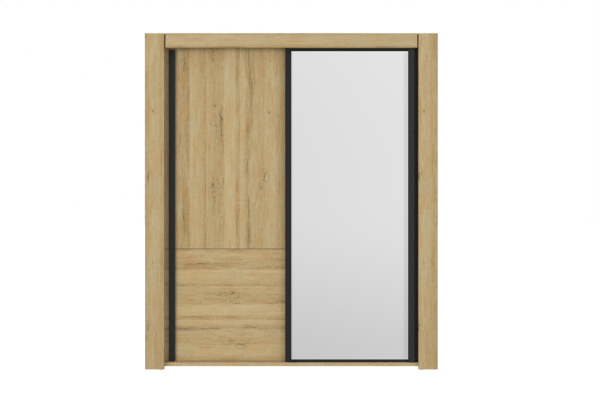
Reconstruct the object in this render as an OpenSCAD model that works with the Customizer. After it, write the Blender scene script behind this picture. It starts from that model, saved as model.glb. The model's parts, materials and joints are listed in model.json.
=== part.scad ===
// Sliding door wardrobe. Millimetres, +Z up, the doors face -Y.
// The origin is on the floor, at the middle of the width and of the depth.

/* [Carcass] */
// Overall width
carcass_w = 1800; // [1600:10:2200]
// Overall height, glides included
carcass_h = 2069; // [1950:1:2300]
// Overall depth, from the post fronts to the nail heads
carcass_d = 600; // [560:5:700]
// Thickness of the side panels, posts, pelmet and top panel
thick_board = 22; // [22:1:25]
// Thickness of the bottom panel and the centre partition
board = 22; // [18:1:22]
// Thickness of the shelves
shelf_board = 16; // [14:1:20]
// Thickness of the back sheets
back_sheet = 3; // [3:0.5:4]
// Width of each front post
post_w = 118; // [110:1:150]
// Height of the pelmet
pelmet_h = 88; // [85:1:110]
// Gap between each end of the pelmet and its post
pelmet_gap = 9; // [4:0.5:10]
// Height of the bottom panel's underside over the floor
floor_gap = 17; // [12:1:20]
// Setback of the bottom panel's front edge behind the post fronts
bottom_setback = 30; // [26:1:32]

/* [Interior] */
// Height of the two hat shelves' undersides
hat_shelf_z = 1700; // [1560:10:1760]
// Distance between the undersides of the adjustable shelves
shelf_pitch = 370; // [300:10:380]
// Outer diameter of the hanging rail
rail_d = 25; // [22:1:30]
// Distance from the hat shelf's underside down to the rail's axis
rail_drop = 60; // [50:1:80]

/* [Doors] */
// Thickness of the door boards
door_t = 18; // [16:1:20]
// Reach of each closed door past the centre line
door_overlap = 39; // [35:1:60]
// Clearance between a closed door and the side panel
door_side_gap = 4; // [3:1:8]
// Depth of the front door board's face behind the post fronts
door_face_y = 43; // [40:1:46]
// Distance from the front door's face to the rear door's
door_pitch = 42; // [40:1:46]
// Gap under the doors
door_bottom_gap = 2; // [2:0.5:3]
// Height of the joint between the left door's two panels
joint_z = 739; // [600:1:900]
// Width of the joint
joint_w = 3; // [2:0.5:5]
// Width of the handle bars
handle_w = 37; // [30:1:40]
// Height of the handle bars over the door boards
handle_proud = 18; // [14:1:18]
// Distance from a post's inner edge to the handle bar
handle_inset = 20.5; // [15:0.5:30]

/* [Mirror] */
// Thickness of the mirror glass
mirror_t = 4; // [3:0.5:5]
// Thickness of the mirror tape
tape_t = 1; // [1:0.5:2]
// Black board left bare under the mirror
mirror_foot = 17; // [15:1:30]
// Black board seen between the mirror and the pelmet
mirror_head = 17; // [10:1:30]

/* [Sliding gear] */
// Outer radius of the hanger wheels
wheel_r = 11; // [10:0.5:11]
// Radius at which the wheels roll on the track's bead
tread_r = 9.5; // [9:0.1:9.5]
// Width of the wheels
wheel_w = 8; // [7:0.5:8]
// Height of a track
track_h = 30; // [30:1:32]
// Distance from a door's edge to its nearer wheel
hanger_inset = 100; // [80:5:150]
// Thickness of the hanger plates
hanger_t = 2.5; // [2:0.5:2.5]

/* [Hidden] */
$fn = 48;

oak = [0.73, 0.63, 0.46];
black = [0.16, 0.16, 0.16];
steel = [0.70, 0.71, 0.72];
tin = [0.80, 0.80, 0.78];
fibre = [0.80, 0.77, 0.71];
beech = [0.85, 0.72, 0.50];

// Planes of the carcass
side_x = carcass_w / 2;
inner_x = side_x - thick_board;
post_x = side_x - post_w;
front_y = -carcass_d / 2;
post_back_y = front_y + thick_board;
nail_head_t = 1;
sheet_y = carcass_d / 2 - nail_head_t - back_sheet;
sheet_inset = 3;
sheet_seam = 0.5;
top_z = carcass_h - thick_board;
floor_z = floor_gap + board;
pelmet_z = carcass_h - pelmet_h;
pelmet_x = post_x - pelmet_gap;

// T-shaped strips in the pelmet's joints
strip_stem = 4;
strip_flange = 10;
strip_flange_t = 3;

// Interior: the partition and the shelves keep behind the doors
partition_setback = 135;
shelf_setback = 5;
shelf_back_gap = 3;
partition_y = front_y + partition_setback;
shelf_front_y = partition_y + shelf_setback;
shelf_back_y = sheet_y - shelf_back_gap;
shelf_gap = 0.5;
shelf_zs = [for (i = [1:3]) floor_z + i * shelf_pitch];

// Doors: the right one runs in the front track, the left one in the rear track
door_x = inner_x - door_side_gap;
door_bottom_z = floor_z + door_bottom_gap;
door_head = 59;
door_top_z = carcass_h - door_head;
face_ys = [front_y + door_face_y + door_pitch, front_y + door_face_y];
back_ys = [for (y = face_ys) y + door_t];
mirror_side_gap = 0.5;
handle_x = post_x - handle_inset - handle_w;
handle_foot = 4;
handle_head = 2.5;
handle_edge = 2;
handle_zs = [floor_z + handle_foot, pelmet_z - handle_head];
handle_screw_end = 70;
handle_screws = 6;
handle_screw_bite = 6;
guide_groove_w = 5.2;
guide_groove_h = 12;
joint_strip_depth = 2;
joint_strip_flange = 12;
joint_strip_flange_t = 2;
joint_strip_end_gap = 2;
tape_w = 25;
tape_strips = 6;
tape_side_gap = 30;
tape_end_gap = 40;

// Sliding gear
track_wall = 2;
bead_w = 2.4;
bead_h = 2;
roll_gap = 0.3;
wheel_gap = 1.5;
axle_r = 2.5;
running_gap = 0.05;
ledge_z = top_z - track_h + track_wall;
wheel_z = ledge_z + bead_h + tread_r + roll_gap;
plate_back_ys = [for (y = back_ys) y + hanger_t];
wheel_ys = [for (y = plate_back_ys) y + wheel_gap + wheel_w / 2];
track_tip_gap = 1;
track_end_gap = 2;
track_screw_reach = 0.87;
track_screws = 7;
track_tip_ys = [for (y = plate_back_ys) y + track_tip_gap];
track_d = wheel_w + 6.5;
stop_gap = 1;
stop_w = 12;
hanger_xs = [door_x - hanger_inset, hanger_inset - door_overlap];
hanger_low = -40;
hanger_shoulder = -2;
hanger_over_axle = 9;
hanger_foot_w = 52;
hanger_head_w = 22;
hanger_screw_places = [[-17, 28], [17, 28], [0, 12]];
axle_head_r = 4;
axle_head_t = 1.2;
axle_end_gap = 0.3;
rivet_r = 4.5;
rivet_t = 2;
wheel_lip = 2;
wheel_edge = 0.5;

// Cam fittings and dowels
cam_r = 7.5;
cam_deep = 12.5;
cam_reach = 34;
cam_play = 0.1;
bolt_r = 3;
bolt_thread_r = 2.5;
bolt_bite = 11;
dowel_r = 4;
dowel_face = 10.5;
dowel_edge = 19.5;
hole_play = 0.1;
deeper = 0.5;
cut = 1;
cam_slot_w = 1.6;
cam_slot_l = 9;
cam_slot_h = 2.3;
cam_sunk = 0.3;

// A cam joint is [mouth of the cam's bore, way the bolt runs, way the bore runs, depth of the bolt's axis].
side_cam_ys = [-150, 60, 250];
side_joints = [for (y = side_cam_ys, z = [[top_z, thick_board], [floor_gap, board]])
    [[inner_x - cam_reach, y, z[0]], [1, 0, 0], [0, 0, 1], z[1] / 2]];
post_joints = [for (z = [150, 1030, carcass_h - 160])
    [[inner_x, post_back_y + cam_reach, z], [0, -1, 0], [1, 0, 0], thick_board / 2]];
pelmet_joints = [for (x = [-600, -200, 200, 600])
    [[x, post_back_y + cam_reach, carcass_h], [0, -1, 0], [0, 0, -1], thick_board / 2]];
partition_joints = [for (y = [-100, 150], e = [[top_z - cam_reach, 1], [floor_z + cam_reach, -1]])
    [[board / 2, y, e[0]], [0, 0, e[1]], [-1, 0, 0], board / 2]];

// A dowel is [its point on the joint, the way into the board that it meets edge on].
side_dowels = [for (y = [-110, 215], z = [top_z + thick_board / 2, floor_gap + board / 2])
    [[inner_x, y, z], [-1, 0, 0]]];
post_dowels = [for (z = [90, 560, 1500, carcass_h - 70])
    [[inner_x + thick_board / 2, post_back_y, z], [0, 1, 0]]];
pelmet_dowels = [for (x = [-700, 0, 700])
    [[x, post_back_y, carcass_h - thick_board / 2], [0, 1, 0]]];
partition_dowels = [for (y = [-140, 200], e = [[top_z, -1], [floor_z, 1]])
    [[0, y, e[0]], [0, 0, e[1]]]];

// Nails through the back sheets: [x, z]
nail_r = 0.8;
nail_len = 20;
nail_hole_r = 0.9;
nail_head_r = 2.5;
nail_xs = [120, 330, 560, 770];
side_nail_zs = spread(60, carcass_h - 60, 7);
partition_nail_zs = spread(200, carcass_h - 200, 4);
side_nails = [for (z = side_nail_zs) [inner_x + thick_board / 2, z]];
top_nails = [for (x = nail_xs) [x, top_z + thick_board / 2]];
bottom_nails = [for (x = nail_xs) [x, floor_gap + board / 2]];
partition_nails = [for (z = partition_nail_zs) [board / 4, z]];

joiner_x = side_x / 2;
joiner_flange = 10;
joiner_web = 1.5;
joiner_end_gap = 2;

// Glides under the side panels and the posts, and feet under the bottom panel
glide_h = 2;
glide_r = 10;
side_glide_ys = [-240, 260];
post_glide_xy = [post_x + 20, front_y + thick_board / 2];
foot_xy = [for (x = [-side_x / 2, 0, side_x / 2], y = [-120, 240]) [x, y]];
foot_r = 20;
spigot_r = 4;
spigot_h = 10;
spike_r = 1.2;
spike_h = 12;

bracket_x = 600;
bracket_w = 40;
bracket_leg = 40;
bracket_t = 2;
bracket_screw_x = 12;
wall_hole_r = 3;
wall_hole_play = 1.5;
wall_hole_z = top_z - 25;

// Screws
screw_r = 2;
screw_bite = 12;
screw_head_t = 2;
screw_slot_w = 0.8;
screw_slot_deep = 1;
pan_r = 4;
pan_play = 0.3;
track_screw_head_r = 3.2;

// Floor guide
guide_x = 12;
guide_w = 46;
guide_base_t = 1.5;
guide_lip_h = 2.5;
guide_lip_t = 4;
guide_front = 11;
guide_back = 6;
guide_fin_t = 4;
guide_fin_h = 11;
guide_screw_x = 14;
guide_screw_y = (back_ys[1] + face_ys[0]) / 2;

// Hanging rail
rail_y = 40;
rail_wall = 1.2;
rail_z = hat_shelf_z - rail_drop;
socket_plate_t = 3;
socket_plate_r = rail_d / 2 + 13;
socket_ring_r = rail_d / 2 + 3;
socket_ring_w = 12;
socket_screw_at = rail_d / 2 + 8;

// Shelf pins
pin_r = 2.5;
pin_deep = 8;
pin_drop = 3;
pin_step = 32;
pin_shelf_l = 9;
pin_shelf_w = 8;
pin_ys = [shelf_front_y + 50, shelf_back_y - 60];
hat_pin_rows = [-1:1];
shelf_pin_rows = [-2:2];

// Stiffener behind the left door
stiffener_w = 30;
stiffener_t = 15;
stiffener_side_gap = 4;
stiffener_foot = 26;
stiffener_head = 20;
stiffener_screw_end = 50;
stiffener_screws = 6;
stiffener_x = door_overlap - stiffener_side_gap - stiffener_w;
stiffener_zs = [door_bottom_z + stiffener_foot, pelmet_z - stiffener_head];

handle_screw_zs = spread(handle_zs[0] + handle_screw_end, handle_zs[1] - handle_screw_end, handle_screws);
stiffener_screw_zs = spread(
    stiffener_zs[0] + stiffener_screw_end, stiffener_zs[1] - stiffener_screw_end, stiffener_screws);
track_screw_xs = spread(-track_screw_reach * inner_x, track_screw_reach * inner_x, track_screws);

// Values from low to high, evenly spread
function spread(low, high, count) = [for (i = [0:count - 1]) low + i * (high - low) / (count - 1)];

// ---- Helpers ----

// A box from its lowest corner to its highest
module block(lo, hi) {
    translate(lo)
        cube(hi - lo);
}

// The children as drawn on the right, or mirrored to the left
module on_side(s) {
    if (s < 0)
        mirror([1, 0, 0])
            children();
    else
        children();
}

// The children with their X along x and their Z along z
module aligned(p, x, z) {
    y = cross(z, x);
    multmatrix([
        [x[0], y[0], z[0], p[0]],
        [x[1], y[1], z[1], p[1]],
        [x[2], y[2], z[2], p[2]],
        [0, 0, 0, 1]
    ])
        children();
}

// A cylinder along X, from x = 0
module rod_x(r, h) {
    rotate([0, 90, 0])
        cylinder(r = r, h = h);
}

// A cylinder along +Y, from y = 0
module rod_y(r, h) {
    rotate([-90, 0, 0])
        cylinder(r = r, h = h);
}

// A profile drawn in Y and Z, extruded along X
module along_x(x0, x1) {
    translate([x0, 0, 0])
        rotate([90, 0, 90])
            linear_extrude(height = x1 - x0)
                children();
}

// A cross of two slots, cut from z0 to z1
module cross_slot(w, l, z0, z1) {
    for (size = [[l, w], [w, l]])
        block([-size[0] / 2, -size[1] / 2, z0], [size[0] / 2, size[1] / 2, z1]);
}

// ---- Fittings, each with the bores that hold it ----

module cam_bores(joints) {
    for (j = joints)
        aligned(j[0], j[1], j[2]) {
            translate([0, 0, -cut])
                cylinder(r = cam_r, h = cam_deep + cut);
            translate([0, 0, j[3]])
                rod_x(bolt_r + hole_play, cam_reach + deeper);
            translate([cam_reach, 0, j[3]])
                rod_x(bolt_thread_r + hole_play, bolt_bite + deeper);
        }
}

module cams(joints) {
    for (j = joints)
        aligned(j[0], j[1], j[2])
            difference() {
                translate([0, 0, cam_sunk])
                    cylinder(r = cam_r - cam_play, h = cam_deep - cam_sunk - 2 * cam_play);
                cross_slot(cam_slot_w, cam_slot_l, 0, cam_slot_h);
            }
}

module bolts(joints) {
    for (j = joints)
        aligned(j[0], j[1], j[2])
            translate([0, 0, j[3]]) {
                translate([cam_r, 0, 0])
                    rod_x(bolt_r, cam_reach - cam_r);
                translate([cam_reach, 0, 0])
                    rod_x(bolt_thread_r, bolt_bite);
            }
}

module dowel_bores(list) {
    for (d = list)
        aligned(d[0], d[1], [d[1][1], d[1][2], d[1][0]])
            translate([-dowel_face - deeper, 0, 0])
                rod_x(dowel_r + hole_play, dowel_face + dowel_edge + 2 * deeper);
}

module dowel_pins(list) {
    for (d = list)
        aligned(d[0], d[1], [d[1][1], d[1][2], d[1][0]])
            translate([-dowel_face, 0, 0])
                rod_x(dowel_r, dowel_face + dowel_edge);
}

module nail_bores(list) {
    for (n = list)
        translate([n[0], sheet_y - nail_len - cut, n[1]])
            rod_y(nail_hole_r, nail_len + back_sheet + 2 * cut);
}

module nails(list) {
    for (n = list)
        translate([n[0], sheet_y - nail_len, n[1]]) {
            rod_y(nail_r, nail_len + back_sheet);
            translate([0, nail_len + back_sheet, 0])
                rod_y(nail_head_r, nail_head_t);
        }
}

// A screw along -Z, from the underside of its head at z = 0
module screw(bite, head_r = pan_r) {
    difference() {
        cylinder(r = head_r, h = screw_head_t);
        cross_slot(screw_slot_w, 2 * screw_r, screw_head_t - screw_slot_deep, screw_head_t + cut);
    }
    translate([0, 0, -bite])
        cylinder(r = screw_r, h = bite + deeper);
}

module screw_bore(bite) {
    translate([0, 0, -bite - deeper])
        cylinder(r = screw_r + hole_play, h = bite + deeper + cut);
}

// Pin holes for a shelf at height z, in the face that looks along -X at x
module pin_bores(x, z, rows) {
    for (y = pin_ys, k = rows)
        translate([x - cut, y, z - pin_drop + k * pin_step])
            rod_x(pin_r + hole_play, pin_deep + deeper + cut);
}

module pins(x, z) {
    for (y = pin_ys) {
        translate([x, y, z - pin_drop])
            rod_x(pin_r, pin_deep);
        block([x - pin_shelf_l, y - pin_shelf_w / 2, z - 2 * pin_drop], [x, y + pin_shelf_w / 2, z]);
    }
}

// The bore for a glide's spike
module spike_bore(p) {
    translate([p[0], p[1], 0])
        cylinder(r = spike_r + hole_play, h = glide_h + spike_h + deeper);
}

// ---- Carcass ----

module post(s) {
    color(oak)
        on_side(s)
            difference() {
                block([post_x, front_y, glide_h], [side_x, post_back_y, carcass_h]);
                cam_bores(post_joints);
                dowel_bores(post_dowels);
                spike_bore(post_glide_xy);
            }
}

module left_post() {
    post(-1);
}

module right_post() {
    post(1);
}

module side_panel_blank() {
    difference() {
        block([inner_x, post_back_y, glide_h], [side_x, sheet_y, carcass_h]);
        cam_bores(side_joints);
        cam_bores(post_joints);
        dowel_bores(side_dowels);
        dowel_bores(post_dowels);
        nail_bores(side_nails);
        for (y = side_glide_ys)
            spike_bore([inner_x + thick_board / 2, y]);
        pin_bores(inner_x, hat_shelf_z, hat_pin_rows);
    }
}

module left_side_panel() {
    color(oak)
        on_side(-1)
            difference() {
                side_panel_blank();
                socket_screw_bores(inner_x);
            }
}

module right_side_panel() {
    color(oak)
        difference() {
            side_panel_blank();
            for (z = shelf_zs)
                pin_bores(inner_x, z, shelf_pin_rows);
        }
}

module top_panel() {
    color(oak)
        difference() {
            block([-inner_x, post_back_y, top_z], [inner_x, sheet_y, carcass_h]);
            for (s = [-1, 1])
                on_side(s) {
                    cam_bores([for (j = side_joints) if (j[0][2] == top_z) j]);
                    dowel_bores([for (d = side_dowels) if (d[0][2] > top_z) d]);
                    nail_bores(top_nails);
                    bracket_screws_at()
                        screw_bore(screw_bite + bracket_t);
                }
            cam_bores(pelmet_joints);
            cam_bores([for (j = partition_joints) if (j[1][2] > 0) j]);
            dowel_bores(pelmet_dowels);
            dowel_bores([for (d = partition_dowels) if (d[1][2] < 0) d]);
            track_screws_at()
                screw_bore(screw_bite + track_wall);
        }
}

module bottom_panel() {
    color(oak)
        difference() {
            block([-inner_x, front_y + bottom_setback, floor_gap], [inner_x, sheet_y, floor_z]);
            for (s = [-1, 1])
                on_side(s) {
                    cam_bores([for (j = side_joints) if (j[0][2] == floor_gap) j]);
                    dowel_bores([for (d = side_dowels) if (d[0][2] < floor_z) d]);
                    nail_bores(bottom_nails);
                }
            cam_bores([for (j = partition_joints) if (j[1][2] < 0) j]);
            dowel_bores([for (d = partition_dowels) if (d[1][2] > 0) d]);
            for (p = foot_xy)
                translate([p[0], p[1], floor_gap - cut])
                    cylinder(r = spigot_r + hole_play, h = spigot_h + deeper + cut);
            guide_screws_at()
                screw_bore(screw_bite);
        }
}

module centre_partition() {
    color(oak)
        difference() {
            block([-board / 2, partition_y, floor_z], [board / 2, sheet_y, top_z]);
            cam_bores(partition_joints);
            dowel_bores(partition_dowels);
            for (s = [-1, 1])
                on_side(s)
                    nail_bores(partition_nails);
            for (s = [-1, 1])
                on_side(s)
                    mirror([1, 0, 0])
                        pin_bores(-board / 2, hat_shelf_z, hat_pin_rows);
            for (z = shelf_zs)
                mirror([1, 0, 0])
                    pin_bores(-board / 2, z, shelf_pin_rows);
            on_side(-1)
                mirror([1, 0, 0])
                    socket_screw_bores(-board / 2);
        }
}

module pelmet() {
    color(oak)
        difference() {
            block([-pelmet_x, front_y, pelmet_z], [pelmet_x, post_back_y, carcass_h]);
            cam_bores(pelmet_joints);
            dowel_bores(pelmet_dowels);
        }
}

// T-shaped strips that close the gaps between the pelmet and the posts
module pelmet_joint_strips() {
    color(black)
        for (s = [-1, 1])
            on_side(s) {
                block([pelmet_x, post_back_y - strip_stem, pelmet_z], [post_x, post_back_y, carcass_h]);
                block(
                    [pelmet_x - strip_flange, post_back_y, pelmet_z],
                    [post_x + strip_flange, post_back_y + strip_flange_t, top_z]
                );
            }
}

module glides() {
    color(black)
        for (s = [-1, 1])
            on_side(s)
                for (p = [post_glide_xy, for (y = side_glide_ys) [inner_x + thick_board / 2, y]])
                    translate([p[0], p[1], 0]) {
                        cylinder(r = glide_r, h = glide_h);
                        cylinder(r = spike_r, h = glide_h + spike_h);
                    }
}

module bottom_feet() {
    color(black)
        for (p = foot_xy)
            translate([p[0], p[1], 0]) {
                cylinder(r = foot_r, h = floor_gap);
                cylinder(r = spigot_r, h = floor_gap + spigot_h);
            }
}

module cam_locks() {
    color(tin) {
        for (s = [-1, 1])
            on_side(s) {
                cams(side_joints);
                cams(post_joints);
            }
        cams(pelmet_joints);
        cams(partition_joints);
    }
}

module cam_bolts() {
    color(steel) {
        for (s = [-1, 1])
            on_side(s) {
                bolts(side_joints);
                bolts(post_joints);
            }
        bolts(pelmet_joints);
        bolts(partition_joints);
    }
}

module dowels() {
    color(beech) {
        for (s = [-1, 1])
            on_side(s) {
                dowel_pins(side_dowels);
                dowel_pins(post_dowels);
            }
        dowel_pins(pelmet_dowels);
        dowel_pins(partition_dowels);
    }
}

// ---- Back ----

module sheet(x0, x1) {
    color(fibre)
        difference() {
            block(
                [x0, sheet_y, floor_gap + sheet_inset],
                [x1, sheet_y + back_sheet, carcass_h - sheet_inset]
            );
            for (s = [-1, 1])
                on_side(s) {
                    nail_bores(side_nails);
                    nail_bores(top_nails);
                    nail_bores(bottom_nails);
                    nail_bores(partition_nails);
                    translate([bracket_x, sheet_y - cut, wall_hole_z])
                        rod_y(wall_hole_r + wall_hole_play, back_sheet + 2 * cut);
                }
        }
}

module back_sheet_far_left() {
    sheet(sheet_inset - side_x, -joiner_x - joiner_web / 2);
}

module back_sheet_mid_left() {
    sheet(-joiner_x + joiner_web / 2, -sheet_seam);
}

module back_sheet_mid_right() {
    sheet(sheet_seam, joiner_x - joiner_web / 2);
}

module back_sheet_far_right() {
    sheet(joiner_x + joiner_web / 2, side_x - sheet_inset);
}

// H-shaped strips that hold the edges of neighbouring sheets
module back_joiners() {
    color("white")
        for (s = [-1, 1])
            translate([s * joiner_x, 0, floor_z + joiner_end_gap])
                linear_extrude(height = top_z - floor_z - 2 * joiner_end_gap) {
                    translate([-joiner_web / 2, sheet_y - nail_head_t])
                        square([joiner_web, back_sheet + 2 * nail_head_t]);
                    for (y = [sheet_y - nail_head_t, sheet_y + back_sheet])
                        translate([-joiner_flange, y])
                            square([2 * joiner_flange, nail_head_t]);
                }
}

module back_nails() {
    color(steel)
        for (s = [-1, 1])
            on_side(s) {
                nails(side_nails);
                nails(top_nails);
                nails(bottom_nails);
                nails(partition_nails);
            }
}

// Steel angles behind the top panel, drilled for the screws that tie the wardrobe to a wall
module wall_brackets() {
    color(steel)
        for (s = [-1, 1])
            on_side(s)
                difference() {
                    translate([bracket_x - bracket_w / 2, 0, 0]) {
                        block([0, sheet_y - bracket_leg, top_z - bracket_t], [bracket_w, sheet_y, top_z]);
                        block([0, sheet_y - bracket_t, top_z - bracket_leg], [bracket_w, sheet_y, top_z]);
                    }
                    translate([bracket_x, sheet_y - bracket_t - cut, wall_hole_z])
                        rod_y(wall_hole_r, bracket_t + 2 * cut);
                    bracket_screws_at()
                        screw_bore(screw_bite);
                }
}

module bracket_screws_at() {
    for (x = [-bracket_screw_x, bracket_screw_x])
        translate([bracket_x + x, sheet_y - bracket_leg / 2, top_z - bracket_t])
            mirror([0, 0, 1])
                children();
}

module wall_bracket_screws() {
    color(steel)
        for (s = [-1, 1])
            on_side(s)
                bracket_screws_at()
                    screw(screw_bite + bracket_t);
}

// ---- Interior ----

module shelf(s, z) {
    color(oak)
        on_side(s)
            block(
                [board / 2 + shelf_gap, shelf_front_y, z],
                [inner_x - shelf_gap, shelf_back_y, z + shelf_board]
            );
}

module left_hat_shelf() {
    shelf(-1, hat_shelf_z);
}

module right_hat_shelf() {
    shelf(1, hat_shelf_z);
}

module low_shelf() {
    shelf(1, shelf_zs[0]);
}

module middle_shelf() {
    shelf(1, shelf_zs[1]);
}

module high_shelf() {
    shelf(1, shelf_zs[2]);
}

module shelf_pins() {
    color(steel) {
        for (s = [-1, 1])
            on_side(s) {
                pins(inner_x, hat_shelf_z);
                mirror([1, 0, 0])
                    pins(-board / 2, hat_shelf_z);
            }
        for (z = shelf_zs) {
            pins(inner_x, z);
            mirror([1, 0, 0])
                pins(-board / 2, z);
        }
    }
}

module hanging_rail() {
    color(steel)
        translate([-inner_x + socket_plate_t, rail_y, rail_z])
            difference() {
                rod_x(rail_d / 2, inner_x - board / 2 - 2 * socket_plate_t);
                translate([-cut, 0, 0])
                    rod_x(rail_d / 2 - rail_wall, inner_x);
            }
}

// A flanged cup on the face that looks along -X at x
module rail_socket(x) {
    translate([x, rail_y, rail_z])
        mirror([1, 0, 0])
            difference() {
                union() {
                    rod_x(socket_plate_r, socket_plate_t);
                    rod_x(socket_ring_r, socket_ring_w);
                }
                translate([socket_plate_t, 0, 0])
                    rod_x(rail_d / 2 + hole_play, socket_ring_w);
                for (z = [-1, 1])
                    translate([-cut, 0, z * socket_screw_at])
                        rod_x(screw_r + hole_play, socket_plate_t + 2 * cut);
            }
}

module rail_sockets() {
    color(steel)
        on_side(-1) {
            rail_socket(inner_x);
            mirror([1, 0, 0])
                rail_socket(-board / 2);
        }
}

module socket_screws_at(x) {
    for (z = [-1, 1])
        translate([x - socket_plate_t, rail_y, rail_z + z * socket_screw_at])
            rotate([0, -90, 0])
                children();
}

module socket_screw_bores(x) {
    socket_screws_at(x)
        screw_bore(screw_bite);
}

module rail_socket_screws() {
    color(steel)
        on_side(-1) {
            socket_screws_at(inner_x)
                screw(screw_bite);
            mirror([1, 0, 0])
                socket_screws_at(-board / 2)
                    screw(screw_bite);
        }
}

// ---- Tracks and floor guide ----

// A track is a C that opens towards its door; d is 0 for the rear track and 1 for the front one
module track(d) {
    y = track_tip_ys[d];
    color(steel)
        difference() {
            along_x(track_end_gap - inner_x, inner_x - track_end_gap) {
                translate([y, top_z - track_wall])
                    square([track_d, track_wall]);
                translate([y + track_d - track_wall, top_z - track_h])
                    square([track_wall, track_h]);
                translate([y, top_z - track_h])
                    square([track_d, track_wall]);
                translate([wheel_ys[d] - bead_w / 2, ledge_z - track_wall / 2])
                    square([bead_w, bead_h + track_wall / 2]);
            }
            track_screws_at()
                screw_bore(screw_bite);
        }
}

module rear_track() {
    track(0);
}

module front_track() {
    track(1);
}

module track_screws_at() {
    for (y = wheel_ys, x = track_screw_xs)
        translate([x, y, top_z - track_wall])
            mirror([0, 0, 1])
                children();
}

module track_screws() {
    color(steel)
        track_screws_at()
            screw(screw_bite + track_wall, track_screw_head_r);
}

// Blocks inside the tracks, one past each end of a door's travel
module track_stops() {
    stop_x = hanger_xs[0] + wheel_r + stop_gap;
    color(black)
        for (y = track_tip_ys, s = [-1, 1])
            on_side(s)
                block(
                    [stop_x, y + track_tip_gap, ledge_z + bead_h],
                    [stop_x + stop_w, y + track_d - track_wall, top_z - track_wall]
                );
}

// A plate on the bottom panel, with a fin that runs in a groove under each door
module floor_guide() {
    front = face_ys[1] - guide_front;
    color(black)
        difference() {
            translate([guide_x - guide_w / 2, 0, floor_z]) {
                block([0, front, 0], [guide_w, back_ys[0] + guide_back, guide_base_t]);
                block([0, front, 0], [guide_w, front + guide_lip_t, guide_lip_h]);
                for (y = face_ys)
                    block(
                        [0, y + (door_t - guide_fin_t) / 2, 0],
                        [guide_w, y + (door_t + guide_fin_t) / 2, guide_fin_h]
                    );
            }
            guide_screws_at()
                screw_bore(screw_bite);
        }
}

module guide_screws_at() {
    for (x = [-guide_screw_x, guide_screw_x])
        translate([guide_x + x, guide_screw_y, floor_z + guide_base_t])
            children();
}

module floor_guide_screws() {
    color(steel)
        guide_screws_at()
            screw(screw_bite);
}

// ---- Doors ----

// The groove that the floor guide's fin runs in, for the door whose face is at y
module guide_groove(y) {
    y0 = y + (door_t - guide_groove_w) / 2;
    block(
        [-side_x, y0, door_bottom_z - cut],
        [side_x, y0 + guide_groove_w, door_bottom_z + guide_groove_h]
    );
}

// Bores for the screws that hold the handle from behind the board, heads let in
module handle_screws_at(y) {
    for (z = handle_screw_zs)
        translate([handle_x + handle_w / 2, y + door_t - screw_head_t - deeper, z])
            rotate([-90, 0, 0])
                children();
}

module handle_bores(y) {
    handle_screws_at(y) {
        screw_bore(door_t + handle_screw_bite + deeper);
        cylinder(r = pan_r + pan_play, h = door_t);
    }
}

module handle(s, y) {
    color(black)
        on_side(s)
            difference() {
                translate([handle_x, y, handle_zs[0]])
                    linear_extrude(height = handle_zs[1] - handle_zs[0])
                        polygon([
                            [0, 0],
                            [0, handle_edge - handle_proud],
                            [handle_edge, -handle_proud],
                            [handle_w - handle_edge, -handle_proud],
                            [handle_w, handle_edge - handle_proud],
                            [handle_w, 0]
                        ]);
                handle_bores(y);
            }
}

module handle_screws(s, y) {
    color(steel)
        on_side(s)
            handle_screws_at(y)
                screw(door_t + handle_screw_bite);
}

module hanger_screws_at(d) {
    for (x = hanger_xs, p = hanger_screw_places)
        translate([x + p[0], plate_back_ys[d], door_top_z - p[1]])
            rotate([-90, 0, 0])
                children();
}

module hangers(s, d) {
    high = wheel_z + hanger_over_axle - door_top_z;
    color(steel)
        on_side(s)
            difference() {
                for (x = hanger_xs)
                    translate([x, plate_back_ys[d], door_top_z])
                        rotate([90, 0, 0])
                            linear_extrude(height = hanger_t)
                                polygon([
                                    [-hanger_foot_w / 2, hanger_low],
                                    [hanger_foot_w / 2, hanger_low],
                                    [hanger_foot_w / 2, hanger_shoulder],
                                    [hanger_head_w / 2, high],
                                    [-hanger_head_w / 2, high],
                                    [-hanger_foot_w / 2, hanger_shoulder]
                                ]);
                hanger_screws_at(d)
                    screw_bore(screw_bite);
                for (x = hanger_xs)
                    translate([x, back_ys[d] - cut, wheel_z])
                        rod_y(axle_r + running_gap, hanger_t + 2 * cut);
            }
}

module hanger_screws(s, d) {
    color(steel)
        on_side(s)
            hanger_screws_at(d)
                screw(screw_bite);
}

// Riveted pins, with a collar that spaces the wheel off the plate and a head that keeps it on
module axles(s, d) {
    far_end = hanger_t + wheel_gap + wheel_w;
    color(steel)
        on_side(s)
            for (x = hanger_xs)
                translate([x, back_ys[d], wheel_z]) {
                    translate([0, -rivet_t, 0])
                        rod_y(rivet_r, rivet_t);
                    rod_y(axle_r, far_end + axle_end_gap + axle_head_t);
                    translate([0, hanger_t, 0])
                        rod_y(axle_head_r, wheel_gap - axle_end_gap);
                    translate([0, far_end + axle_end_gap, 0])
                        rod_y(axle_head_r, axle_head_t);
                }
}

// A grooved wheel whose middle is at x, in the track d
module wheel(x, d) {
    half = wheel_w / 2;
    color("whitesmoke")
        translate([x, wheel_ys[d], wheel_z])
            rotate([90, 0, 0])
                rotate_extrude()
                    polygon([
                        [axle_r + running_gap, -half],
                        [wheel_r - wheel_edge, -half],
                        [wheel_r, wheel_edge - half],
                        [wheel_r, -wheel_lip],
                        [tread_r, -wheel_lip],
                        [tread_r, wheel_lip],
                        [wheel_r, wheel_lip],
                        [wheel_r, half - wheel_edge],
                        [wheel_r - wheel_edge, half],
                        [axle_r + running_gap, half]
                    ]);
}

// Left door: two panels one over the other, in the rear track
module left_door_blank(z0, z1) {
    color(oak)
        difference() {
            block([-door_x, face_ys[0], z0], [door_overlap, back_ys[0], z1]);
            on_side(-1) {
                handle_bores(face_ys[0]);
                hanger_screws_at(0)
                    screw_bore(screw_bite);
            }
            stiffener_screws_at()
                screw_bore(screw_bite + stiffener_t);
            guide_groove(face_ys[0]);
        }
}

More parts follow.
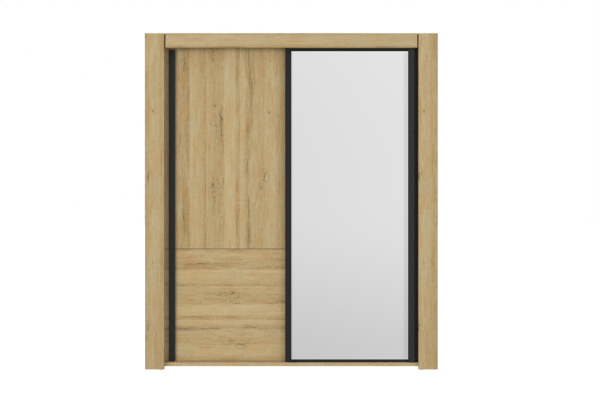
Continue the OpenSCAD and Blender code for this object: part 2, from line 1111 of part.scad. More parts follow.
module left_door_upper_panel() {
    left_door_blank(joint_z + joint_w / 2, door_top_z);
}

module left_door_lower_panel() {
    left_door_blank(door_bottom_z, joint_z - joint_w / 2);
}

// A T-shaped strip between the two panels, let in behind their faces
module left_door_joint_strip() {
    flange_end = stiffener_x - joint_strip_end_gap;
    color(black) {
        block(
            [-door_x, face_ys[0] + joint_strip_depth, joint_z - joint_w / 2],
            [door_overlap, back_ys[0], joint_z + joint_w / 2]
        );
        block(
            [-door_x, back_ys[0], joint_z - joint_strip_flange],
            [flange_end, back_ys[0] + joint_strip_flange_t, joint_z + joint_strip_flange]
        );
    }
}

module stiffener_screws_at() {
    for (z = stiffener_screw_zs)
        translate([stiffener_x + stiffener_w / 2, back_ys[0] + stiffener_t, z])
            rotate([-90, 0, 0])
                children();
}

module left_door_stiffener() {
    color(oak)
        difference() {
            block(
                [stiffener_x, back_ys[0], stiffener_zs[0]],
                [stiffener_x + stiffener_w, back_ys[0] + stiffener_t, stiffener_zs[1]]
            );
            stiffener_screws_at()
                screw_bore(screw_bite + stiffener_t);
        }
}

module left_door_stiffener_screws() {
    color(steel)
        stiffener_screws_at()
            screw(screw_bite + stiffener_t);
}

module left_door_handle() {
    handle(-1, face_ys[0]);
}

module left_door_handle_screws() {
    handle_screws(-1, face_ys[0]);
}

module left_door_hangers() {
    hangers(-1, 0);
}

module left_door_hanger_screws() {
    hanger_screws(-1, 0);
}

module left_door_axles() {
    axles(-1, 0);
}

module left_door_wheel_1() {
    wheel(-hanger_xs[0], 0);
}

module left_door_wheel_2() {
    wheel(-hanger_xs[1], 0);
}

// Right door: a black board with a mirror on its face, in the front track
module right_door_panel() {
    color(black)
        difference() {
            block([-door_overlap, face_ys[1], door_bottom_z], [door_x, back_ys[1], door_top_z]);
            handle_bores(face_ys[1]);
            hanger_screws_at(1)
                screw_bore(screw_bite);
            guide_groove(face_ys[1]);
        }
}

module mirror_plate(y0, y1, x0, x1, inset) {
    block(
        [x0, y0, door_bottom_z + mirror_foot + inset],
        [x1, y1, pelmet_z - mirror_head - inset]
    );
}

module mirror_glass() {
    glass_y = face_ys[1] - tape_t;
    color("lightsteelblue")
        mirror_plate(glass_y - mirror_t, glass_y, 0, handle_x - mirror_side_gap, 0);
}

module mirror_tape() {
    color("white")
        for (x = spread(tape_side_gap, handle_x - tape_side_gap - tape_w, tape_strips))
            mirror_plate(face_ys[1] - tape_t, face_ys[1], x, x + tape_w, tape_end_gap);
}

module right_door_handle() {
    handle(1, face_ys[1]);
}

module right_door_handle_screws() {
    handle_screws(1, face_ys[1]);
}

module right_door_hangers() {
    hangers(1, 1);
}

module right_door_hanger_screws() {
    hanger_screws(1, 1);
}

module right_door_axles() {
    axles(1, 1);
}

module right_door_wheel_1() {
    wheel(hanger_xs[1], 1);
}

module right_door_wheel_2() {
    wheel(hanger_xs[0], 1);
}

left_post();
right_post();
left_side_panel();
right_side_panel();
top_panel();
bottom_panel();
centre_partition();
pelmet();
pelmet_joint_strips();
front_track();
rear_track();
track_screws();
track_stops();
floor_guide();
floor_guide_screws();
left_hat_shelf();
right_hat_shelf();
low_shelf();
middle_shelf();
high_shelf();
shelf_pins();
hanging_rail();
rail_sockets();
rail_socket_screws();
back_sheet_far_left();
back_sheet_mid_left();
back_sheet_mid_right();
back_sheet_far_right();
back_joiners();
back_nails();
cam_locks();
cam_bolts();
dowels();
glides();
bottom_feet();
wall_brackets();
wall_bracket_screws();
left_door_upper_panel();
left_door_lower_panel();
left_door_joint_strip();
left_door_stiffener();
left_door_stiffener_screws();
left_door_handle();
left_door_handle_screws();
left_door_hangers();
left_door_hanger_screws();
left_door_axles();
right_door_panel();
mirror_glass();
mirror_tape();
right_door_handle();
right_door_handle_screws();
right_door_hangers();
right_door_hanger_screws();
right_door_axles();
left_door_wheel_1();
left_door_wheel_2();
right_door_wheel_1();
right_door_wheel_2();
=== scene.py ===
import json
import math

import bmesh
import bpy
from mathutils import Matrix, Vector


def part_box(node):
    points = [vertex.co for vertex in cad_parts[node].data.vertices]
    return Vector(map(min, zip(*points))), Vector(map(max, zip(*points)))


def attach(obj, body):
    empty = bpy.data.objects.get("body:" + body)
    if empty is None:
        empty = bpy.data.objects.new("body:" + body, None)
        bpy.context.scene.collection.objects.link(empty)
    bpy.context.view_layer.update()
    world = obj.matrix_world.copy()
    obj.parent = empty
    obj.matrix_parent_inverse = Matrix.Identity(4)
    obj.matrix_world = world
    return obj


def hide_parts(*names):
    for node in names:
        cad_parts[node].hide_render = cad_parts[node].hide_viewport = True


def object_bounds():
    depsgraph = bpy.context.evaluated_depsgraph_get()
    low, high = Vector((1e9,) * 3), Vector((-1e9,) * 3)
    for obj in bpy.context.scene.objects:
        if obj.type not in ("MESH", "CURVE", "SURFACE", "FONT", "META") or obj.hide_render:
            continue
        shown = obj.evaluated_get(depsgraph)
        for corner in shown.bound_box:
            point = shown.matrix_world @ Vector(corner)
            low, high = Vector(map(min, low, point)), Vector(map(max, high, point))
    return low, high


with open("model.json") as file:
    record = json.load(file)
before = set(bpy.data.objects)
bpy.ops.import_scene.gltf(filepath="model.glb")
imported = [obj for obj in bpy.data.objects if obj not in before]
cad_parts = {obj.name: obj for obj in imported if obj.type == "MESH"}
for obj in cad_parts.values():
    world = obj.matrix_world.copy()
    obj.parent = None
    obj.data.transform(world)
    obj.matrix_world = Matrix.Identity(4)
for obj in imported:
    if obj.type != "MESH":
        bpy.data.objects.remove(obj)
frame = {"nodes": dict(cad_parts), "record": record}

# A sliding door wardrobe in oak decor, with a mirror door and black handle bars.
# Metres, +Z up, the doors face -Y. The origin is on the floor, at the middle of the width and of the depth.

cad_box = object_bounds()
nodes = frame["nodes"]

# ---- camera ----
CAMERA_DISTANCE = 5.3   # from the post fronts
CAMERA_RIGHT = 0.053    # right of the middle
CAMERA_HEIGHT = 1.044
CAMERA_LENS = 51.76     # mm, on a sensor 36 mm wide

# ---- studio ----
BACKGROUND = 1.0        # what the camera sees behind the object
HORIZON_LIGHT = 0.77    # radiance of the studio at eye level
OVERHEAD_LIGHT = 0.95
LOW_LIGHT = 0.60        # a little under eye level, where the studio is darkest
GROUND_LIGHT = 0.66
SIDE_LIGHT = 0.30       # how much brighter the studio gets towards +X
FILL_LIGHT = 0.53       # radiance of the studio as far as it lights the object
KEY_PLACE = (-3.6, -4.2, 2.2)
KEY_SIZE = 1.4
KEY_POWER = 106.0
SIDE_PLACE = (2.6, -4.2, 1.6)
SIDE_SIZE = 2.4
SIDE_POWER = 43.0
FRONT_PLACE = (0.2, -5.0, 0.7)
FRONT_SIZE = 1.8
FRONT_POWER = 26.0
LIGHT_AIM = (0.0, 0.0, 1.0)
FLOOR_SIZE = 60.0
FLOOR_GLOW = 0.93

# ---- oak decor: one print, from which every board is cut ----
MM = 0.001
PRINT_PERIOD = 930.0    # the print repeats along the grain
PRINT_WIDTH = 1000.0    # width of the profile below

# Each stave: where it starts across the print, in mm, and its tones as (mm from its start, tone).
# Tone runs from 0, brown, to 1, straw. Most staves end in a brown streak.
STAVES = [
    (-200, [(0, 0.76), (94, 0.50)]),
    (-100, [(0, 0.76), (60, 0.66), (84, 0.48)]),
    (0, [(0, 0.66), (70, 0.50), (103, 0.42)]),
    (107, [(0, 0.80), (80, 0.62), (99, 0.42)]),
    (210, [(0, 0.72), (30, 0.60), (80, 0.56), (110, 0.62)]),
    (324, [(0, 0.82), (60, 0.86), (72, 0.60), (91, 0.46)]),
    (419, [(0, 0.82), (22, 0.78), (44, 0.50), (109, 0.70)]),
    (532, [(0, 0.58), (14, 0.58), (70, 0.80), (108, 0.72)]),
    (644, [(0, 0.62), (92, 0.46)]),
]

# Thin marks along the grain: middle along and across the print, length, width and sideways wander, all in mm,
# and how dark each is.
CRACKS = [
    (1530, 302, 250, 4.2, 26, 0.80),
    (1556, 299, 44, 5.5, 10, 0.85),
    (1000, 474, 150, 4.0, 8, 0.68),
    (880, 480, 240, 3.2, 14, 0.45),
    (1807, 400, 170, 3.4, 4, 0.55),
    (1245, 464, 90, 3.6, 12, 0.70),
    (1192, 572, 60, 4.4, 16, 0.75),
    (1161, 317, 56, 4.0, 5, 0.60),
    (936, 69, 55, 4.5, 4, 0.65),
    (1295, 200, 24, 4.5, 3, 0.50),
    (1426, 44, 66, 3.4, 3, 0.60),
    (936, 307, 16, 5.0, 3, 0.65),
]

# Brown streaks, soft at their sides: middle along and across, length, width, slant in mm over the length, and
# strength.
STREAKS = [
    (1660, 482, 430, 15, 34, 0.26),
    (950, 72, 260, 20, 0, 0.16),
    (850, 484, 210, 18, 6, 0.18),
    (1480, 300, 360, 22, 10, 0.16),
    (1130, 557, 60, 16, 0, 0.22),
]

# Knots: middle along and across, half length and half width, and strength.
KNOTS = [
    (1592, 600, 21, 11, 0.72),
    (1145, 251, 22, 13, 0.42),
    (1632, 263, 14, 8, 0.70),
    (1523, 236, 10, 9, 0.62),
    (1604, 538, 9, 6, 0.55),
]

# Burls, where the grain curls: middle along and across, half length and half width, and strength.
BURLS = [
    (1075, 262, 150, 52, 0.34),
    (1192, 585, 60, 30, 0.35),
    (1480, 265, 110, 40, 0.25),
    (1250, 455, 60, 22, 0.26),
]

# Tones of the print, from brown to straw, as (tone, red, green, blue).
OAK_TONES = [
    (0.00, 116, 93, 62),
    (0.30, 160, 134, 92),
    (0.55, 178, 153, 109),
    (0.80, 187, 165, 122),
    (1.00, 194, 174, 135),
]

CRACK_TONE = (92, 84, 68)

# The print drifts between a warmer and a greener cast.
WARM_CAST = (1.025, 0.98, 0.93, 1.0)
GREEN_CAST = (0.98, 1.01, 1.04, 1.0)

# Layers of grain: the size of their marks in mm, across and along the grain, and how far each moves the tone.
BEND_SIZE = (120.0, 260.0)
BEND_SWAY = 46.0        # mm across
RIPPLE_SIZE = (26.0, 44.0)
RIPPLE_SWAY = 7.0
BAND_SIZE = (21.0, 420.0)
BAND_WEIGHT = 0.46
LINE_SIZE = (6.5, 120.0)
LINE_WEIGHT = 0.86
FIBRE_SIZE = (1.5, 50.0)
FIBRE_WEIGHT = 0.70
FIGURE_SIZE = (9.0, 15.0)
FIGURE_WEIGHT = 0.66
CLOUD_SIZE = (60.0, 130.0)
CLOUD_WEIGHT = 0.34
PORE_SIZE = (0.9, 16.0)
PORE_WEIGHT = 0.16
CURL_PITCH = 3.0        # mm for each radian of a curl's wave
CURL_BEND = 46.0        # radians by which the waves wander

# ---- boards and mirror, in metres where not stated ----
EDGE_BREAK = 0.0006     # width of the boards' broken edges
MIRROR_FACET = 0.009    # width of the bevel round the mirror
MIRROR_FALL = 0.0008    # its depth
MIRROR_ARRIS = 0.0004
BAR_SHADE = 0.19        # painted shade: how much the colour of the mirror's face is darkened towards the bar
BAR_SHADE_WIDTH = 34.0  # mm
# painted shade on the mirror's bevel towards the bar
FACET_PAINTED_SHADE = 0.06


def srgb(red, green, blue):
    """A colour from 0 to 255 as the linear colour that Blender uses."""
    linear = []
    for value in (red, green, blue):
        share = value / 255
        if share <= 0.04045:
            linear.append(share / 12.92)
        else:
            linear.append(((share + 0.055) / 1.055) ** 2.4)
    return (*linear, 1.0)


# ---- node trees ----

class Number:
    """A number socket in a node tree, which can be used in a sum."""

    def __init__(self, graph, socket):
        self.graph = graph
        self.socket = socket

    def __add__(self, other):
        return self.graph.math("ADD", self, other)

    def __sub__(self, other):
        return self.graph.math("SUBTRACT", self, other)

    def __mul__(self, other):
        return self.graph.math("MULTIPLY", self, other)

    def __truediv__(self, other):
        return self.graph.math("DIVIDE", self, other)


class Graph:
    """A node tree, with a short call for each kind of node that is used here."""

    def __init__(self, tree):
        self.tree = tree

    def add(self, kind, inputs=None, **settings):
        node = self.tree.nodes.new(kind)
        for name, value in settings.items():
            setattr(node, name, value)
        for name, value in (inputs or {}).items():
            self.feed(node.inputs[name], value)
        return node

    def feed(self, socket, value):
        if isinstance(value, Number):
            value = value.socket
        if isinstance(value, bpy.types.NodeSocket):
            self.tree.links.new(value, socket)
        else:
            socket.default_value = value

    def math(self, operation, a, b=0.0):
        node = self.add("ShaderNodeMath", {0: a, 1: b}, operation=operation)
        return Number(self, node.outputs[0])

    def vector(self, x, y, z=0.0):
        return self.add("ShaderNodeCombineXYZ", {"X": x, "Y": y, "Z": z}).outputs[0]

    def step(self, value, low, high):
        """0 below low and 1 above high, with a smooth rise between them."""
        inputs = {"Value": value, "From Min": low, "From Max": high}
        node = self.add("ShaderNodeMapRange", inputs, interpolation_type="SMOOTHSTEP")
        return Number(self, node.outputs[0])

    def noise(self, vector, detail=2.0, roughness=0.5):
        inputs = {"Vector": vector, "Scale": 1.0, "Detail": detail, "Roughness": roughness}
        return Number(self, self.add("ShaderNodeTexNoise", inputs).outputs[0])

    def ramp(self, factor, stops, interpolation="LINEAR"):
        """stops are (position, colour)."""
        node = self.add("ShaderNodeValToRGB", {"Fac": factor})
        node.color_ramp.interpolation = interpolation
        elements = node.color_ramp.elements
        elements.remove(elements[1])
        elements[0].position, elements[0].color = stops[0]
        for position, colour in stops[1:]:
            elements.new(position).color = colour
        return node.outputs[0]

    def mix(self, factor, a, b, blend="MIX"):
        inputs = {"Factor": factor, 6: a, 7: b}
        node = self.add("ShaderNodeMix", data_type="RGBA", blend_type=blend)
        for name, value in inputs.items():
            self.feed(node.inputs[name], value)
        return node.outputs[2]

    def bump(self, height, distance, strength=1.0):
        inputs = {"Height": height, "Distance": distance, "Strength": strength}
        return self.add("ShaderNodeBump", inputs).outputs[0]

    def layer(self, across, along, size, row, detail=2.0, roughness=0.5):
        """Noise whose marks have a size across and along the grain."""
        place = self.vector(across / size[0], along / size[1], row)
        return self.noise(place, detail, roughness)

    def position(self):
        """The three coordinates on the object, in mm, which stay with it when it moves."""
        place = self.add("ShaderNodeTexCoord").outputs["Object"]
        split = self.add("ShaderNodeSeparateXYZ", {0: place})
        return [Number(self, out) / MM for out in split.outputs]


def new_material(name):
    material = bpy.data.materials.new(name)
    material.use_nodes = True
    material.node_tree.nodes.clear()
    return material, Graph(material.node_tree)


def finish_material(graph, **inputs):
    """Adds the shader and the output. Underscores in the names stand for spaces."""
    settings = {name.replace("_", " "): value for name, value in inputs.items()}
    shader = graph.add("ShaderNodeBsdfPrincipled", settings)
    graph.add("ShaderNodeOutputMaterial", {"Surface": shader.outputs[0]})


# ---- oak ----

def wrapped(graph, along, middle):
    """Distance along the grain from middle, in a print that repeats."""
    shifted = along - (middle - PRINT_PERIOD / 2)
    turns = graph.math("FLOOR", shifted / PRINT_PERIOD)
    return shifted - turns * PRINT_PERIOD - PRINT_PERIOD / 2


def crack(graph, along, across, wander, mark):
    middle_along, middle_across, length, width, sway, _ = mark
    distance = wrapped(graph, along, middle_along)
    path = across - middle_across + (wander - 0.5) * (2 * sway)
    off_line = graph.math("ABSOLUTE", path)
    beside = graph.step(off_line, width, width * 0.15)
    past_end = graph.math("ABSOLUTE", distance)
    return beside * graph.step(past_end, length / 2, length / 2 * 0.55)


def streak(graph, along, across, mark):
    middle_along, middle_across, length, width, slant, _ = mark
    distance = wrapped(graph, along, middle_along)
    path = across - middle_across + distance * (slant / length)
    off_line = graph.math("ABSOLUTE", path)
    past_end = graph.math("ABSOLUTE", distance)
    return graph.step(off_line, width, 0.0) * graph.step(past_end, length / 2, length / 4)


def knot(graph, along, across, mark, curl):
    """Rings round a dark heart."""
    middle_along, middle_across, half_length, half_width, _ = mark
    across_share = (across - middle_across) / half_width
    along_share = wrapped(graph, along, middle_along) / half_length
    square = across_share * across_share + along_share * along_share
    radius = graph.math("SQRT", square) + (curl - 0.5) * 1.2
    rings = graph.math("SINE", radius * 7.0) * 0.5 + 0.5
    heart = graph.step(radius, 0.7, 0.1)
    fade = graph.step(radius, 1.5, 0.4)
    return fade * (rings * 0.25 + heart * 0.75)


def burl(graph, along, across, mark, curls):
    """Thin dark curls in an oval of the board."""
    middle_along, middle_across, half_length, half_width, _ = mark
    across_share = (across - middle_across) / half_width
    along_share = wrapped(graph, along, middle_along) / half_length
    square = across_share * across_share + along_share * along_share
    return curls * graph.step(square, 1.3, 0.2)


def stave_profile(graph, across):
    """The tone across the print, and a seed that differs from stave to stave."""
    first = STAVES[0][0]
    position = (across - first) / PRINT_WIDTH
    tones = []
    seeds = []
    for number, (start, profile) in enumerate(STAVES):
        seed = (number * 0.37) % 1.0
        seeds.append(((start - first) / PRINT_WIDTH, (seed, seed, seed, 1.0)))
        for offset, tone in profile:
            tones.append(((start + offset - first) / PRINT_WIDTH, (tone, tone, tone, 1.0)))
    tone = Number(graph, graph.ramp(position, tones))
    seed = Number(graph, graph.ramp(position, seeds, "CONSTANT"))
    return tone, seed


def make_oak_print():
    """The print as a node group: along and across in mm go in, and colour, height and roughness come out."""
    tree = bpy.data.node_groups.new("oak_print", "ShaderNodeTree")
    for name in ("Along", "Across", "Depth"):
        tree.interface.new_socket(name, in_out="INPUT", socket_type="NodeSocketFloat")
    tree.interface.new_socket("Colour", in_out="OUTPUT", socket_type="NodeSocketColor")
    for name in ("Height", "Roughness"):
        tree.interface.new_socket(name, in_out="OUTPUT", socket_type="NodeSocketFloat")
    graph = Graph(tree)
    given = graph.add("NodeGroupInput").outputs
    along, across, depth = [Number(graph, given[name]) for name in ("Along", "Across", "Depth")]

    tone, seed = stave_profile(graph, across)
    row = seed * 40.0 + depth / 30.0
    bend = graph.layer(across, along, BEND_SIZE, row, 3.0)
    ripple = graph.layer(across, along, RIPPLE_SIZE, row + 9.0)
    bent = across + (bend - 0.5) * BEND_SWAY + (ripple - 0.5) * RIPPLE_SWAY

    bands = graph.layer(bent, along, BAND_SIZE, row)
    lines = graph.layer(bent, along, LINE_SIZE, row, 3.0, 0.65)
    fibres = graph.layer(bent, along, FIBRE_SIZE, row, 3.0, 0.65)
    figure = graph.layer(bent, along, FIGURE_SIZE, row, 3.0, 0.6)
    cloud = graph.layer(across, along, CLOUD_SIZE, row, 3.0)
    pore_noise = graph.layer(bent, along, PORE_SIZE, row, 1.0)
    pores = graph.step(pore_noise, 0.66, 0.78)

    tone = tone + (bands - 0.5) * BAND_WEIGHT
    tone = tone + (lines - 0.5) * LINE_WEIGHT
    tone = tone + (fibres - 0.5) * FIBRE_WEIGHT
    tone = tone + (figure - 0.5) * FIGURE_WEIGHT
    tone = tone + (cloud - 0.5) * CLOUD_WEIGHT
    tone = tone - pores * PORE_WEIGHT

    wander = graph.noise(graph.vector(7.0, along / 34.0, 3.0), 3.0, 0.6)
    curl = graph.noise(graph.vector(across / 9.0, along / 14.0, 5.0), 2.0)
    waves = graph.noise(graph.vector(across / 24.0, along / 70.0, 11.0), 1.0)
    curls = graph.step(graph.math("SINE", waves * CURL_BEND + across / CURL_PITCH), 0.2, 1.0)
    marks = Number(graph, graph.add("ShaderNodeValue").outputs[0])
    marks.socket.default_value = 0.0
    for mark in CRACKS:
        marks = marks + crack(graph, along, across, wander, mark) * mark[-1]
    for mark in STREAKS:
        tone = tone - streak(graph, along, bent, mark) * mark[-1]
    for mark in KNOTS:
        tone = tone - knot(graph, along, across, mark, curl) * mark[-1]
    for mark in BURLS:
        tone = tone - burl(graph, along, across, mark, curls) * mark[-1]

    stops = [(at, srgb(red, green, blue)) for at, red, green, blue in OAK_TONES]
    colour = graph.ramp(tone, stops)
    green_share = graph.step(cloud, 0.35, 0.65)
    tint = graph.mix(green_share, WARM_CAST, GREEN_CAST)
    colour = graph.mix(1.0, colour, tint, "MULTIPLY")
    colour = graph.mix(marks, colour, srgb(*CRACK_TONE))

    height = fibres * 0.35 + lines * 0.25 - pores * 0.5 - marks * 0.8
    roughness = lines * 0.14 + pores * 0.12 + 0.44
    outputs = graph.add("NodeGroupOutput").inputs
    graph.feed(outputs["Colour"], colour)
    graph.feed(outputs["Height"], height)
    graph.feed(outputs["Roughness"], roughness)
    return tree


def oak(name, along, across, along_offset=0.0, across_offset=0.0, across_sign=1.0, lightness=1.0):
    """Oak whose grain runs along one axis. The offsets say, in mm, which part of the print the board is cut
    from, and lightness is a factor on this board's colour, which below 1 is painted shade."""
    material, graph = new_material(name)
    place = dict(zip("xyz", graph.position()))
    depth = [axis for axis in "xyz" if axis not in (along, across)][0]
    cut = graph.add("ShaderNodeGroup", node_tree=OAK_PRINT)
    graph.feed(cut.inputs["Along"], place[along] + along_offset)
    graph.feed(cut.inputs["Across"], place[across] * across_sign + across_offset)
    graph.feed(cut.inputs["Depth"], place[depth])
    # Painted shade where lightness is below 1: the board's colour is darkened.
    level = (lightness, lightness, lightness, 1.0)
    colour = graph.mix(1.0, cut.outputs["Colour"], level, "MULTIPLY")
    normal = graph.bump(cut.outputs["Height"], 0.00022, 0.5)
    finish_material(
        graph,
        Base_Color=colour,
        Roughness=cut.outputs["Roughness"],
        Specular_IOR_Level=0.22,
        Normal=normal,
    )
    return material


OAK_PRINT = make_oak_print()


# ---- other materials ----

def speckled(
    name, colour, spread, grain, roughness, bump, stretch=(1.0, 1.0, 1.0), metallic=0.0, specular=0.5
):
    """A surface with a fine texture. grain is its size in mm, spread how much its colour varies, and stretch
    draws it out along an axis."""
    material, graph = new_material(name)
    place = graph.position()
    stretched = graph.vector(*[axis / (grain * factor) for axis, factor in zip(place, stretch)])
    fine = graph.noise(stretched, 4.0, 0.65)
    broad = graph.noise(graph.vector(*[axis / 120.0 for axis in place]), 3.0)
    shade = fine * spread + broad * spread * 0.6 + (1.0 - spread * 0.8)
    tinted = graph.mix(1.0, colour, graph.vector(shade, shade, shade), "MULTIPLY")
    normal = graph.bump(fine, 0.0001, bump)
    rough = fine * 0.12 + broad * 0.10 + (roughness - 0.11)
    finish_material(
        graph,
        Base_Color=tinted,
        Roughness=rough,
        Metallic=metallic,
        Specular_IOR_Level=specular,
        Normal=normal,
    )
    return material


def mirror_silver(name, right_edge, strength):
    """A silvered face with a trace of haze, and a soft painted shade that darkens its colour towards the
    handle bar at right_edge, in mm.
    """
    material, graph = new_material(name)
    place = graph.position()
    haze = graph.noise(graph.vector(*[axis / 260.0 for axis in place]), 2.0)
    rough = haze * 0.012 + 0.002
    # Painted shade: the silver is darkened towards the bar, where the bar's shade falls on the glass.
    shade = graph.step(place[0], right_edge - BAR_SHADE_WIDTH, right_edge) * strength
    silver = graph.mix(shade, (0.93, 0.935, 0.93, 1.0), (0.0, 0.0, 0.0, 1.0))
    finish_material(graph, Base_Color=silver, Roughness=rough, Metallic=1.0)
    return material


def glass_edge():
    """The ground edge of float glass, green and slightly frosted."""
    material, graph = new_material("glass_edge")
    place = graph.position()
    frost = graph.noise(graph.vector(*[axis / 2.0 for axis in place]), 3.0)
    colour = graph.mix(frost, srgb(96, 124, 112), srgb(148, 172, 160))
    rough = frost * 0.2 + 0.25
    finish_material(graph, Base_Color=colour, Roughness=rough)
    return material


def fibreboard(name, colour):
    """Hardboard with short fibres that lie every way."""
    material, graph = new_material(name)
    x, y, z = graph.position()
    swirl = graph.noise(graph.vector(x / 30.0, z / 30.0, y / 30.0), 2.0)
    fibres = graph.noise(graph.vector(x / 2.2 + swirl * 6.0, z / 0.8, y / 2.0), 4.0, 0.7)
    crossing = graph.noise(graph.vector(x / 0.8, z / 2.2 + swirl * 6.0, y / 2.0), 4.0, 0.7)
    web = fibres * 0.5 + crossing * 0.5
    dark = [channel * 0.80 for channel in colour[:3]] + [1.0]
    tinted = graph.mix(graph.step(web, 0.35, 0.65), dark, colour)
    finish_material(
        graph,
        Base_Color=tinted,
        Roughness=web * 0.2 + 0.6,
        Normal=graph.bump(web, 0.0002, 0.4),
    )
    return material


# ---- boards ----

def top_of(node):
    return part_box(node)[1].z / MM


def left_of(node):
    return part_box(node)[0].x / MM


# Where the boards are cut from the print, in mm across it at the named edge of each board.
UPPER_PANEL_LEFT = -133.0
LOWER_PANEL_TOP = -23.0
LOWER_PANEL_ALONG = 1504.0
LEFT_POST_LEFT = 552.0
RIGHT_POST_LEFT = 569.0
PELMET_TOP = 316.0
PELMET_ALONG = 300.0

# Factors on some boards' colour. The left post and the pelmet are darkened: painted shade, standing for less
# light falling on them. The lower door panel is made lighter.
LOWER_PANEL_LIGHTNESS = 1.05
LEFT_POST_SHADE_LEVEL = 0.94
PELMET_SHADE_LEVEL = 0.95


def oak_materials():
    """Which oak each board gets."""
    upright_side = oak("oak_side", "z", "y", across_offset=420.0)
    level = oak("oak_level", "x", "y", along_offset=200.0, across_offset=360.0)
    return {
        "left_door_upper_panel": oak(
            "oak_upper_panel", "z", "x", across_offset=UPPER_PANEL_LEFT - left_of("left_door_upper_panel")
        ),
        "left_door_lower_panel": oak(
            "oak_lower_panel",
            "x",
            "z",
            along_offset=LOWER_PANEL_ALONG,
            across_offset=LOWER_PANEL_TOP + top_of("left_door_lower_panel"),
            across_sign=-1.0,
            lightness=LOWER_PANEL_LIGHTNESS,
        ),
        "left_post": oak(
            "oak_left_post",
            "z",
            "x",
            across_offset=LEFT_POST_LEFT - left_of("left_post"),
            lightness=LEFT_POST_SHADE_LEVEL,
        ),
        "right_post": oak("oak_right_post", "z", "x", across_offset=RIGHT_POST_LEFT - left_of("right_post")),
        "pelmet": oak(
            "oak_pelmet",
            "x",
            "z",
            along_offset=PELMET_ALONG,
            across_offset=PELMET_TOP + top_of("pelmet"),
            across_sign=-1.0,
            lightness=PELMET_SHADE_LEVEL,
        ),
        "left_side_panel": upright_side,
        "right_side_panel": upright_side,
        "centre_partition": upright_side,
        "left_door_stiffener": upright_side,
        "top_panel": level,
        "bottom_panel": oak("oak_bottom_panel", "x", "y", along_offset=200.0, across_offset=610.0),
        "left_hat_shelf": level,
        "right_hat_shelf": level,
        "low_shelf": level,
        "middle_shelf": level,
        "high_shelf": level,
    }


def slot_materials():
    """One material for each other finish in the record."""
    black = srgb(26, 26, 27)
    dark_grey = srgb(36, 36, 36)
    upright = (1.0, 1.0, 14.0)
    drawn = (60.0, 1.0, 1.0)
    return {
        "black_board": speckled("black_board", black, 0.22, 3.0, 0.50, 0.25, upright, specular=0.3),
        "black_bar": speckled("black_bar", dark_grey, 0.22, 3.0, 0.48, 0.25, upright, specular=0.3),
        "tape": speckled("foam_tape", srgb(196, 196, 190), 0.25, 0.8, 0.8, 0.6),
        "back_fibre": fibreboard("back_fibre", srgb(222, 214, 198)),
        "aluminium": speckled("aluminium", srgb(205, 207, 210), 0.12, 0.6, 0.34, 0.3, drawn, metallic=1.0),
        "steel": speckled("zinc_steel", srgb(200, 202, 204), 0.2, 1.2, 0.32, 0.3, metallic=1.0),
        "chrome": speckled("chrome", srgb(216, 217, 219), 0.05, 2.0, 0.16, 0.05, metallic=1.0),
        "black_plastic": speckled("black_plastic", srgb(38, 38, 38), 0.25, 0.8, 0.55, 0.5),
        "white_plastic": speckled("white_plastic", srgb(232, 232, 228), 0.05, 0.8, 0.42, 0.3),
        "beech": speckled("beech", srgb(214, 184, 140), 0.2, 1.4, 0.6, 0.3, (6.0, 1.0, 1.0)),
    }


def dress(node, material):
    mesh = nodes[node].data
    mesh.materials.clear()
    mesh.materials.append(material)


def dress_all():
    """Every CAD node's material: its own oak, or its slot's finish."""
    oaks = oak_materials()
    finishes = slot_materials()
    for part in frame["record"]["subparts"]:
        node = part["node"]
        if node in oaks:
            dress(node, oaks[node])
        elif node != "mirror_glass":
            dress(node, finishes[part["material_slot"]])
    # The joint strips get the dark brown of oak in shade: painted shade on the plastic strips.
    strips = speckled("brown_plastic_painted_shade", srgb(90, 83, 67), 0.2, 0.8, 0.55, 0.5)
    dress("pelmet_joint_strips", strips)


# ---- shapes ----

def soften(node, width):
    """Breaks a board's sharp edges, as edge banding has them."""
    piece = nodes[node]
    weld = piece.modifiers.new("weld", "WELD")
    weld.merge_threshold = 0.00002
    bevel = piece.modifiers.new("broken_edges", "BEVEL")
    bevel.width = width
    bevel.segments = 2
    bevel.limit_method = "ANGLE"
    bevel.angle_limit = math.radians(50)
    bevel.harden_normals = True


def mirror_pane():
    """The glass, with a wide bevel round its front face."""
    low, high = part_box("mirror_glass")
    face_slot, edge_slot, facet_slot = range(3)
    mesh = bpy.data.meshes.new("mirror_pane")
    shape = bmesh.new()
    rings = []
    bevel_y = low.y + MIRROR_FALL
    outlines = (
        (0.0, high.y),
        (0.0, bevel_y + MIRROR_ARRIS),
        (MIRROR_ARRIS, bevel_y),
        (MIRROR_FACET, low.y),
    )
    for inset, y in outlines:
        corners = (
            (low.x + inset, low.z + inset),
            (high.x - inset, low.z + inset),
            (high.x - inset, high.z - inset),
            (low.x + inset, high.z - inset),
        )
        rings.append([shape.verts.new((x, y, z)) for x, z in corners])
    for back, front in zip(rings, rings[1:]):
        for corner in range(4):
            after = (corner + 1) % 4
            face = shape.faces.new((back[corner], back[after], front[after], front[corner]))
            face.material_index = facet_slot if front is rings[-1] else edge_slot
    shape.faces.new(rings[-1]).material_index = face_slot
    shape.faces.new(rings[0][::-1])
    bmesh.ops.recalc_face_normals(shape, faces=shape.faces)
    shape.to_mesh(mesh)
    shape.free()
    mesh.materials.append(mirror_silver("mirror_face", (high.x - MIRROR_FACET) / MM, BAR_SHADE))
    mesh.materials.append(glass_edge())
    mesh.materials.append(mirror_silver("mirror_facet", high.x / MM, FACET_PAINTED_SHADE))
    pane = bpy.data.objects.new("mirror_pane", mesh)
    bpy.context.scene.collection.objects.link(pane)
    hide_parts("mirror_glass")
    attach(pane, "right_door")


# ---- studio ----

def make_camera():
    front = cad_box[0].y
    data = bpy.data.cameras.new("camera")
    data.lens = CAMERA_LENS
    data.sensor_width = 36.0
    data.clip_end = 200.0
    camera = bpy.data.objects.new("camera", data)
    camera.location = (CAMERA_RIGHT, front - CAMERA_DISTANCE, CAMERA_HEIGHT)
    camera.rotation_euler = (math.radians(90), 0.0, 0.0)
    bpy.context.scene.collection.objects.link(camera)
    bpy.context.scene.camera = camera


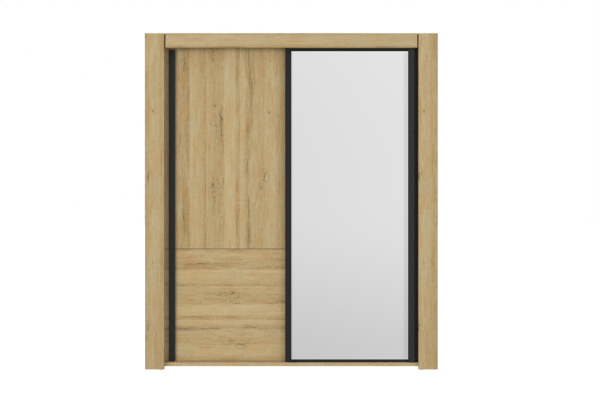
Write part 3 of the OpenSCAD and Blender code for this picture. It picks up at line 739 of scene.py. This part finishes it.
def make_world():
    """White behind the object, and a soft grey studio for light and reflections."""
    world = bpy.data.worlds.new("studio")
    world.use_nodes = True
    world.node_tree.nodes.clear()
    graph = Graph(world.node_tree)
    direction = graph.add("ShaderNodeTexCoord").outputs["Generated"]
    split = graph.add("ShaderNodeSeparateXYZ", {0: direction})
    sideways = Number(graph, split.outputs["X"])
    height = Number(graph, split.outputs["Z"])
    below = graph.step(height, 0.0, -0.22) * (LOW_LIGHT - HORIZON_LIGHT)
    ground = graph.step(height, -0.22, -0.36) * (GROUND_LIGHT - LOW_LIGHT)
    above = graph.step(height, 0.0, 0.7) * (OVERHEAD_LIGHT - HORIZON_LIGHT)
    level = below + ground + above + sideways * SIDE_LIGHT + HORIZON_LIGHT
    fill = graph.add("ShaderNodeLightPath").outputs["Is Diffuse Ray"]
    lit = graph.mix(fill, graph.vector(level, level, level), (FILL_LIGHT, FILL_LIGHT, FILL_LIGHT, 1.0))
    light = graph.add("ShaderNodeBackground", {"Color": lit})
    backdrop = graph.add("ShaderNodeBackground", {"Color": (BACKGROUND, BACKGROUND, BACKGROUND, 1.0)})
    seen = graph.add("ShaderNodeLightPath").outputs["Is Camera Ray"]
    both = graph.add("ShaderNodeMixShader", {0: seen, 1: light.outputs[0], 2: backdrop.outputs[0]})
    graph.add("ShaderNodeOutputWorld", {"Surface": both.outputs[0]})
    bpy.context.scene.world = world


def make_floor():
    mesh = bpy.data.meshes.new("floor")
    half = FLOOR_SIZE / 2
    corners = [(-half, -half, 0.0), (half, -half, 0.0), (half, half, 0.0), (-half, half, 0.0)]
    mesh.from_pydata(corners, [], [(0, 1, 2, 3)])
    floor = bpy.data.objects.new("floor", mesh)
    bpy.context.scene.collection.objects.link(floor)
    material, graph = new_material("floor")
    finish_material(
        graph,
        Base_Color=(0.5, 0.5, 0.5, 1.0),
        Roughness=0.9,
        Specular_IOR_Level=0.0,
        Emission_Color=(1.0, 1.0, 1.0, 1.0),
        Emission_Strength=FLOOR_GLOW,
    )
    mesh.materials.append(material)
    floor.visible_glossy = False
    floor.visible_diffuse = False


def make_softboxes():
    """A key light from the front left, a softer one from the front right, and a weak one low in front."""
    lights = [
        (KEY_PLACE, KEY_SIZE, KEY_POWER),
        (SIDE_PLACE, SIDE_SIZE, SIDE_POWER),
        (FRONT_PLACE, FRONT_SIZE, FRONT_POWER),
    ]
    for place, size, power in lights:
        data = bpy.data.lights.new("softbox", "AREA")
        data.shape = "SQUARE"
        data.size = size
        data.energy = power
        light = bpy.data.objects.new("softbox", data)
        light.location = place
        aim = Vector(LIGHT_AIM) - light.location
        light.rotation_euler = aim.to_track_quat("-Z", "Y").to_euler()
        light.visible_glossy = False
        light.visible_camera = False
        bpy.context.scene.collection.objects.link(light)


BOARDS = [
    "left_post", "right_post", "left_side_panel", "right_side_panel", "top_panel", "bottom_panel",
    "centre_partition", "pelmet", "left_hat_shelf", "right_hat_shelf", "low_shelf", "middle_shelf",
    "high_shelf", "left_door_upper_panel", "left_door_lower_panel", "left_door_stiffener", "right_door_panel",
]

make_camera()
make_world()
make_floor()
make_softboxes()
dress_all()
for board in BOARDS:
    soften(board, EDGE_BREAK)
mirror_pane()

scene = bpy.context.scene
scene.view_settings.view_transform = "Standard"
scene.view_settings.look = "None"
